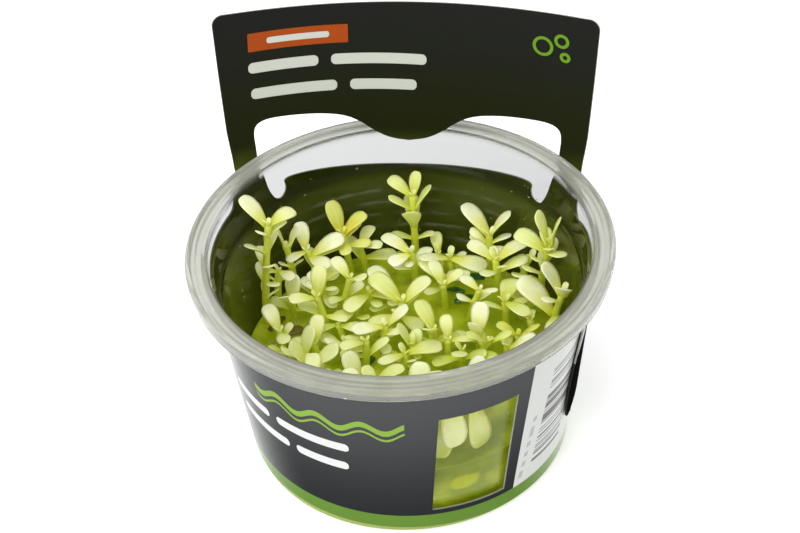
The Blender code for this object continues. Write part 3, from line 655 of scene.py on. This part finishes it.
# Shoots: young rooted stems with fleshy, spoon-shaped leaves in opposite pairs, pale cream-green at the tips and
# yellower at the nodes. Each grew as one piece, and stands with its foot in the gel.

STEM_FOOT_RADIUS, STEM_TOP_RADIUS, STEM_SUNK, STEM_RINGS = 1, 0.8, 4.6, 18
NODE_SWELL, NODE_SPREAD = 0.16, 0.8
LEAF_WIDTH = 0.56
LEAF_GAP, WALL_GAP, GEL_CLEAR, RIM_LOW, RIM_BACK = 1.5, 0.8, 1.1, 53, 39
STEM_SIDES = LEAF_SIDES = 8
LEAST_LEAF, EXTRA_GAP, STEM_GAP = 4.2, 1, 2.2
GOLDEN = [(-16, 30.5), (28, 2)]
# Pairs of colours: a finish shades from the first to the second.
CREAM, NODE_YELLOW = ((0.66, 0.71, 0.24), (0.92, 0.93, 0.64)), ((0.46, 0.5, 0.02), (0.62, 0.62, 0.05))
STEM_GREEN, GOLD = ((0.44, 0.5, 0.012), (0.58, 0.64, 0.09)), ((0.62, 0.5, 0.015), (0.66, 0.66, 0.12))
BROAD_GREEN, MIDRIB, PAINTED_DEPTH_SHADE_GREEN = (0.52, 0.6, 0.1), (0.74, 0.78, 0.34), (0.4, 0.46, 0.01)
FLESH_GLOW, EDGE_GLOW = (0.42, 0.5, 0.012), (1, 1, 0.2)


def stem_point(row, share):
    """The stem's centre line: the foot plus the way to the top times the share to the power 1.4."""
    share = np.asarray(share, float)
    foot, top = np.array(row[:2]), np.array(row[2:4])
    flat = foot + (top - foot) * share[..., None] ** 1.4
    rise = GEL_LEVEL + 0.8 + (row[4] - GEL_LEVEL - 0.8) * share
    return np.concatenate([flat, rise[..., None]], -1)


def leaf_lines(root, turn, rise, length, share):
    """A leaf's centre line, sideways and upward directions: it leaves the stem 14 degrees steeper than its rise and
    arches over by 28 to its tip."""
    a = np.radians(turn)
    out, side = np.array([(np.cos(a), np.sin(a), 0), (-np.sin(a), np.cos(a), 0)])
    bent = np.radians(rise + 14 - 14 * share)[:, None]
    slope = np.radians(rise + 14 - 28 * share)[:, None]
    centre = root + length * share[:, None] * (out * np.cos(bent) + UP * np.sin(bent))
    return centre, side, UP * np.cos(slope) - out * np.sin(slope)


def spoon(share, length):
    """Half the leaf's width: a narrow foot, widest at two thirds, and a round end."""
    shares = (0, 0.1, 0.25, 0.45, 0.65, 0.8, 0.9, 0.96, 1)
    return np.interp(share, shares, (0.38, 0.44, 0.62, 0.88, 1, 0.97, 0.82, 0.6, 0.32)) * length * LEAF_WIDTH / 2


def leaf_spots(root, turn, rise, length):
    """Points spread over a leaf, to keep leaves apart."""
    share = np.linspace(0.2, 1, 9)
    centre, side, _ = leaf_lines(root, turn, rise, length, share)
    across = spoon(share, length)[:, None] * (-1, -0.5, 0, 0.5, 1)
    return (centre[:, None] + side * across[..., None]).reshape(-1, 3)


def is_clear(spots, others, keep):
    """Whether a leaf's points clear the wall, the gel, the rim at the back and the others' points."""
    x, y, z = spots.T
    wall = np.interp(z, (0, 3.2, 46.4, 47.6, 54, 57.5), (34, 38.2, 43, 43.8, 44.4, 45.4)) - WALL_GAP
    blocked = (np.hypot(x, y) > wall) | (z < GEL_LEVEL + GEL_CLEAR) | ((z > RIM_LOW) & (y > RIM_BACK))
    return not blocked.any() and norm(spots[:, None] - others, axis=2).min(initial=99) > keep


SWINGS = (0, 10, -10, 20, -20, 32, -32, 45)
MOVES = sorted(((t, r) for t in (*SWINGS, -45) for r in SWINGS), key=lambda move: abs(move[0]) + abs(move[1]))
SIZES = (1, .9, .8, .7, .6, .5)
FEW_MOVES = [(0, 0), (14, 0), (-14, 0), (0, 14), (0, -14), (26, 10), (-26, 10), (30, -12), (-30, -12), (0, 30)]
FEW_SIZES = (1, .82, .66)


def settle(row, share, wish, others, keep, moves=MOVES, sizes=SIZES):
    """The clear leaf nearest to the wished turn, rise and length, with its points."""
    turn, rise, length = wish
    a = np.radians(turn)
    root = stem_point(row, share) + np.array([np.cos(a), np.sin(a), 0]) * STEM_TOP_RADIUS * 0.8
    near = others[norm(others - root, axis=1) < length + keep + 3]
    steepest, lowest = (76 if share == 1 else 62), min(-35, rise - 12)
    for scale in sizes:
        for t, r in moves:
            if lowest <= rise + r <= steepest:
                spots = leaf_spots(root, turn + t, rise + r, length * scale)
                if is_clear(spots, near, keep):
                    return (share, root, turn + t, rise + r, length * scale), spots
    return None, None


def stem_spots(row):
    """Points up the stem, about a millimetre apart."""
    return stem_point(row, np.linspace(0, 1, int(row[4] - GEL_LEVEL) + 2))


def settled_leaves(rows, standing, keep=LEAF_GAP, **tries):
    """Settles the rows' leaves in order, clear of each other and of what already stands, which they join. A leaf may
    come near the foot of another on its own stem."""
    stems = [stem_spots(row) for row in rows]
    settled = []
    for index, row in enumerate(rows):
        others = [spots for other, spots in enumerate(stems) if other != index] + standing
        mine, whole, leaves = [], [], []
        for share, turn_a, rise_a, turn_b, rise_b, length in row[5]:
            for wish in ((turn_a, rise_a, length), (turn_b, rise_b, length * 0.86)):
                leaf, spots = settle(row, share, wish, np.vstack(others + mine), keep, **tries)
                if leaf:
                    leaves.append(leaf)
                    mine.append(spots[10:])
                    whole.append(spots)
        standing.extend(whole)
        settled.append(leaves)
    standing.extend(stems)
    return settled


def crossing_pairs(row, dice):
    """Wishes for the small pairs between the main ones, each turned a quarter from the pair beside it."""
    height = row[4] - GEL_LEVEL
    places = [pair[0] for pair in row[5]] + [0.12]
    wishes = [(1 - 2.4 / height, row[5][0], 0.6)]
    for high, low, pair in zip(places, places[1:], row[5]):
        steps = int((high - low) * height / 4.2)
        wishes += [(high - (high - low) * step / steps, pair, 0.9) for step in range(1, steps)]
    return [
        (share, (
            pair[1] + 90 + half + dice.uniform(-25, 25), dice.uniform(12, 50),
            pair[5] * size * dice.uniform(0.75, 1)))
        for share, pair, size in wishes for half in (0, 180)]


def blade(root, turn, rise, length, twist, cup_by, tone):
    """A closed fleshy leaf: rings of a flat lens, as wide as the spoon and about a millimetre thick, whose edges lift
    by the square of their distance from the middle, turned about the centre line by the twist."""
    share = np.array([0, 0.08, 0.2, 0.38, 0.56, 0.74, 0.87, 0.95, 0.985])
    centre, side, up = leaf_lines(root, turn, rise, length, share)
    half = spoon(share, length)
    thick = np.interp(share, (0, .2, .6, .9, 1), (.95, .85, .72, .52, .2)) * (0.6 + 0.045 * length)
    a = circle(LEAF_SIDES)
    u, v = np.cos(a), np.sin(a)
    lift = cup_by * np.sin(np.pi * share) * half
    roll = (np.radians(twist) * share)[:, None]
    across = side * np.cos(roll) + up * np.sin(roll)
    above = up * np.cos(roll) - side * np.sin(roll)
    body = centre[:, None] + across[:, None] * (half[:, None] * u)[..., None]
    body = body + above[:, None] * (thick[:, None] / 2 * v + lift[:, None] * (u ** 2 - 0.35))[..., None]
    tip = centre[-1] + (centre[-1] - centre[-2]) * 0.3
    marks = np.broadcast_arrays(np.repeat(share, LEAF_SIDES), np.tile(u, len(share)), tone)
    return body, root, tip, np.stack(marks, -1)


class Growth:
    """Collects closed bodies of rings with a foot and a tip into one piece. Its marks say how far along and across a
    leaf each point lies, and its tone."""

    def __init__(self):
        self.points, self.faces, self.marks, self.count = [], [], [], 0

    def add(self, rings, foot, tip, marks=None):
        number, around = rings.shape[:2]
        marks = np.zeros((number * around, 3)) if marks is None else marks
        self.points += [rings.reshape(-1, 3), foot[None], tip[None]]
        self.marks += [marks, marks[:1], marks[-1:]]
        self.faces += [self.count + group for group in shell_faces(number, around)]
        self.count += number * around + 2

    def lay(self, name, finish):
        piece = lay_body(name, np.vstack(self.points), self.faces, finish)
        for key, values in zip(("along", "across", "tone"), np.vstack(self.marks).T):
            keep_mark(piece.data, key, values)
        return piece


def grow_stem(growth, row, nodes, tone):
    """The stem: level rings about its centre line, from below the gel's top, whose radius tapers upwards and swells
    at each leaf pair by a small bell."""
    share = np.linspace(0, 1, STEM_RINGS)
    path = np.vstack([[stem_point(row, 0) - (0, 0, STEM_SUNK)], stem_point(row, share)])
    share = np.concatenate([[-0.2], share])
    radius = STEM_FOOT_RADIUS + (STEM_TOP_RADIUS - STEM_FOOT_RADIUS) * share.clip(0, 1)
    height = row[4] - GEL_LEVEL
    for node in nodes:
        radius = radius + NODE_SWELL * np.exp(-((share - node) * height / NODE_SPREAD) ** 2)
    a = circle(STEM_SIDES)
    rings = path[:, None] + radius[:, None, None] * np.stack([np.cos(a), np.sin(a), 0 * a], -1)
    along = np.repeat(-0.3 - 0.7 * (1 - share.clip(0, 1)), STEM_SIDES)
    marks = np.stack(np.broadcast_arrays(along, 0, tone), -1)
    growth.add(rings, path[0] - (0, 0, radius[0] * 0.5), path[-1] + (0, 0, radius[-1] * 0.9), marks)


def grow_leaf(growth, leaf, tone, dice):
    """One leaf with a twist, cupping and shade of its own."""
    twist, cup_by, shade = dice.uniform(-16, 16), dice.uniform(0.05, 0.34), dice.uniform(-0.18, 0.18)
    growth.add(*blade(*leaf, twist, cup_by, tone + shade))


flesh = Finish(
    "leaf_flesh", Subsurface_Weight=0.6, Subsurface_Scale=0.0016, Subsurface_Radius=(1, 1, 0.35),
    Coat_Weight=0.06, Coat_Roughness=0.3, Emission_Strength=0.16,
)
along, across, tone = flesh.marks("along", "across", "tone")
fine = flesh.cloud(500, 3)
share = (along + (fine - 0.5) * 0.3).ramp(0, 0.75)
hue = flesh.blend(share, flesh.blend(tone, *NODE_YELLOW), flesh.blend(tone, *CREAM))
hue = flesh.blend(flesh.cloud(130).ramp(0.52, 0.75) * 0.3, hue, BROAD_GREEN)
hue = flesh.blend(tone.ramp(-0.2, -0.6) * 0.7, hue, flesh.blend(along.ramp(0.3, 0.9), *GOLD))
hue = flesh.blend(abs(across).ramp(0.16, 0.02) * 0.3, hue, MIDRIB)
colour = flesh.blend(along > -0.05, flesh.blend(along.ramp(-1, -0.3), *STEM_GREEN), hue)
rise = flesh.node("SeparateXYZ", {0: flesh.place()}, "Z")
# Painted shade: leaves and stems low in the cup, below 30 mm, turn a deeper green.
colour = flesh.blend(rise.ramp(0.03, 0.022) * 0.85, colour, PAINTED_DEPTH_SHADE_GREEN)
thin_edge = abs(across).ramp(0.6, 1) * (along > 0.1)
flesh.wear(
    Base_Color=colour,
    Emission_Color=flesh.blend(thin_edge, flesh.blend(0.7, colour, FLESH_GLOW), EDGE_GLOW),
    Roughness=fine * 0.25 + 0.26,
)
flesh.relief(fine, 0.00012, 0.5)


def grown(name, rows_leaves, dice):
    """One piece from rows and their leaves, each shoot with a shade of its own and a small bud."""
    growth = Growth()
    for row, leaves in rows_leaves:
        tone_here = -0.4 if row[:2] in GOLDEN else dice.uniform(0.1, 0.95)
        grow_stem(growth, row, sorted({leaf[0] for leaf in leaves}), tone_here)
        for leaf in leaves:
            grow_leaf(growth, leaf[1:], tone_here, dice)
        for turn, size in ((90, 0.36), (270, 0.3)):
            length = row[5][0][5] * size * dice.uniform(0.85, 1.1)
            rise = 74 - 50 * size * dice.uniform(0.4, 1)
            bud = (stem_point(row, 1) - (0, 0, 0.2), row[5][0][1] + turn, rise, length)
            grow_leaf(growth, bud, tone_here - 0.3, dice)
    return growth.lay(name, flesh)


dice = np.random.default_rng(7)
standing = []
main_leaves = settled_leaves(SHOOTS, standing)
for row, leaves in zip(SHOOTS, main_leaves):
    stem = stem_spots(row)
    for share, wish in crossing_pairs(row, dice):
        others = np.vstack(standing)
        beside = norm(others[:, None] - stem, axis=2).min(1) > STEM_GAP
        leaf, spots = settle(row, share, wish, others[beside], EXTRA_GAP, FEW_MOVES, FEW_SIZES)
        if leaf and leaf[-1] > LEAST_LEAF:
            leaves.append(leaf)
            standing.append(spots)
for number, row_leaves in enumerate(zip(SHOOTS, main_leaves), 1):
    shoot = grown("shoot_%02d_grown" % number, [row_leaves], dice)
    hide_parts("shoot_%02d" % number)

# Young growth: the small shoots that fill the cluster's middle and front, each a short stem with two pairs of
# leaves between the tall ones.

YOUNG_COUNT, YOUNG_GAP, YOUNG_REACH, YOUNG_TOP = 22, 3.4, 34.5, (24.2, 27.8)
LOW_RISE, LOW_LENGTH = (12, 34), (5.4, 7.6)
TOP_RISE, TOP_LENGTH = (32, 64), (7.6, 10.2)
YOUNG_CLEAR = 0.9


def young_rows(dice):
    """Rows for the small shoots: feet drawn at random over the gel, thicker to the front, none near another."""
    feet = [row[:2] for row in SHOOTS]
    rows = []
    while len(rows) < YOUNG_COUNT:
        x, y = dice.uniform(-33, 34), dice.uniform(-20, 27) - dice.uniform(0, 6)
        gap = min(np.hypot(x - u, y - v) for u, v in feet)
        if np.hypot(x, y) > YOUNG_REACH or gap < YOUNG_GAP:
            continue
        feet.append((x, y))
        turn, top = dice.uniform(0, 360), dice.uniform(*YOUNG_TOP)
        lean = dice.uniform(-1.2, 1.2, 2)
        low, high = (
            (share, turn + way, dice.uniform(*rise), turn + (way + 180), dice.uniform(*rise), dice.uniform(*length))
            for share, way, rise, length in ((0.5, 90, LOW_RISE, LOW_LENGTH), (1, 0, TOP_RISE, TOP_LENGTH)))
        rows.append((x, y, x + lean[0], y + lean[1], top, [high, low]))
    return rows


rows = young_rows(dice)
leaves = settled_leaves(rows, standing, YOUNG_CLEAR, moves=FEW_MOVES, sizes=FEW_SIZES)
grown("young_growth", zip(rows, leaves), dice)

# Roots and old leaves: pale fine roots that creep over the gel where a foot stands high, and a few fallen leaves
# that have turned dark green or brown in the wet. They lie on the gel's skin.

ROOT_HAIRS, ROOT_POINTS, ROOT_SIDES, ROOT_LENGTH, ROOT_REACH = 22, 14, 6, (5, 11), 37
# One row a leaf: its foot's x and y, turn, length, and 1 for a brown one.
OLD_LEAVES = [
    (12.2, 28.6, 10, 6.6, 0), (11.2, 20, 20, 6.4, 0), (13.6, 24.2, 160, 5, 0), (-9.6, -5.6, 80, 5.4, 0),
    (-10.4, -1.6, 140, 4, 0), (-35, 9, 60, 6, 1), (-31.6, 7.4, 20, 5.6, 1), (30, 13.5, 75, 3.4, 0),
]
ROOT_SPOTS = [(-29.7, 7.1), (-27, 6), (-31.6, 11), (30.4, 13.5), (33, 12.6)]

skin = Finish("root_skin", Subsurface_Weight=0.4, Subsurface_Scale=0.0008)
skin.wear(
    Base_Color=skin.blend(skin.cloud(400), (0.4, 0.36, 0.1), (0.66, 0.66, 0.36)),
    Roughness=skin.cloud(300) * 0.2 + 0.15,
)
old = Finish("old_leaf", Subsurface_Weight=0.3, Subsurface_Scale=0.0008, Coat_Weight=0.5, Coat_Roughness=0.08)
green = old.blend(old.cloud(320, 3).ramp(0.3, 0.7), (0.004, 0.075, 0.018), (0.03, 0.2, 0.05))
old.wear(
    Base_Color=old.blend(*old.marks("tone"), green, (0.13, 0.115, 0.008)),
    Roughness=old.cloud(200) * 0.2 + 0.2,
)


def creeping_root(start, heading, length, dice):
    """A fine root on the gel: its way bends by two sines of the distance, and both its ends sink a little."""
    share = np.linspace(0, 1, ROOT_POINTS)
    bend = np.radians(heading) + dice.uniform(-1, 1) * np.sin(2.2 * share)
    bend = bend + 0.4 * np.sin(7 * share + dice.uniform(0, 6))
    step = length / (ROOT_POINTS - 1)
    x = start[0] + np.concatenate([[0], np.cumsum(np.cos(bend[1:]) * step)])
    y = start[1] + np.concatenate([[0], np.cumsum(np.sin(bend[1:]) * step)])
    path = np.stack([x, y, gel_height(x, y) + 0.22 - 0.5 * (2 * share - 1) ** 4], -1)
    side = np.stack([-np.sin(bend), np.cos(bend), 0 * bend], -1)
    a = circle(ROOT_SIDES)
    thick = dice.uniform(0.12, 0.26) * (1 - 0.5 * share)[:, None, None]
    rings = path[:, None] + thick * (side[:, None] * np.cos(a)[:, None] + UP * np.sin(a)[:, None])
    return rings, path[0], path[-1]


roots = Growth()
for _ in range(ROOT_HAIRS):
    start = ROOT_SPOTS[dice.integers(len(ROOT_SPOTS))] + dice.uniform(-3, 3, 2)
    rings, foot, tip = creeping_root(start, dice.uniform(0, 360), dice.uniform(*ROOT_LENGTH), dice)
    if np.hypot(rings[..., 0], rings[..., 1]).max() < ROOT_REACH:
        roots.add(rings, foot, tip)
roots.lay("creeping_roots", skin)
fallen = Growth()
for x, y, turn, length, brown in OLD_LEAVES:
    spot = np.array([x, y, gel_height(x, y) + 0.5])
    fallen.add(*blade(spot, turn, dice.uniform(-8, 8), length, dice.uniform(-20, 20), 0.1, brown))
fallen.lay("fallen_leaves", old)

# Drops: condensed water on the cup's inner wall above the gel, the finest, and a few larger beads on the gel's skin.
# Each clings by its flat side.

WALL_DROPS, WALL_SIZE, WALL_FLAT = 130, (0.14, 0.34), 0.45
GEL_DROPS, GEL_SIZE, GEL_FLAT = 26, (0.25, 0.7), 0.5
DROP_SIDES = 8

water = Finish("water", Transmission_Weight=1, IOR=1.33)
water.wear(
    Base_Color=water.blend(water.cloud(200), (0.94, 0.96, 0.92), (1, 1, 1)),
    Roughness=water.cloud(200) * 0.03,
)


def bead(spot, out, size, flat):
    """A drop: rings of a ball, pressed flat along the way it faces, that stands on the surface at the spot."""
    rise = np.radians((-60, -30, 0, 30, 60))
    a = circle(DROP_SIDES)
    side = np.cross(out, UP) if abs(out[2]) < 0.9 else np.array([1.0, 0, 0])
    side = side / norm(side)
    up = np.cross(out, side)
    level = size * flat * np.sin(rise)[:, None, None] * out
    rings = spot + level + size * np.cos(rise)[:, None, None] * (side * np.cos(a)[:, None] + up * np.sin(a)[:, None])
    return rings, spot - out * size * flat, spot + out * size * flat


drops = Growth()
for _ in range(WALL_DROPS):
    a, z = dice.uniform(0, 2 * np.pi), 24 + 26 * dice.uniform(0, 1) ** 0.8
    size = dice.uniform(*WALL_SIZE)
    out = -about_axis(1, a, 0.09)
    spot = about_axis(inner_wall(z) - 0.05 - size * 0.45, a, z)
    drops.add(*bead(spot, out / norm(out), size, WALL_FLAT))
for _ in range(GEL_DROPS):
    x, y = dice.uniform(-26, 26), dice.uniform(-12, 26)
    size = dice.uniform(*GEL_SIZE)
    spot = np.array([x, y, gel_height(x, y) + size * 0.3])
    drops.add(*bead(spot, UP, size, GEL_FLAT))
drops.lay("water_drops", water)

# Floor and light: a pale studio table that runs on behind, a broad soft lamp overhead and a weaker one from the
# left, under an even white sky.

POT_MIDDLE = (0, 0, 0.03)

floor = placed("floor", bpy.data.meshes.new("floor"))
floor.data.from_pydata([(-3, -3, 0), (3, -3, 0), (3, 3, 0), (-3, 3, 0)], [], [(0, 1, 2, 3)])
paper = Finish("studio_paper", Roughness=0.9, Emission_Color=(1, 1, 1), Emission_Strength=0.45)
paper.wear(Base_Color=paper.blend(paper.cloud(3), (0.84, 0.84, 0.835), (0.86, 0.86, 0.855)))
floor.data.materials.append(paper.material)


def hang_lamp(name, spot, power, size):
    """A square soft lamp that faces the pot."""
    lamp = placed(name, bpy.data.lights.new(name, "AREA"))
    lamp.data.energy = power
    lamp.data.size = size
    lamp.location = spot
    lamp.rotation_euler = (Vector(POT_MIDDLE) - Vector(spot)).to_track_quat("-Z", "Y").to_euler()


hang_lamp("lamp_over", (-0.15, -0.2, 0.85), 3.4, 0.5)
hang_lamp("lamp_front", (-0.45, -0.7, 0.55), 2.4, 0.6)
sky = bpy.data.worlds.new("sky")
sky.use_nodes = True
backdrop = sky.node_tree.nodes["Background"].inputs
backdrop["Color"].default_value = (1, 1, 1, 1)
backdrop["Strength"].default_value = 0.8
scene.world = sky
scene.view_settings.view_transform = "Standard"
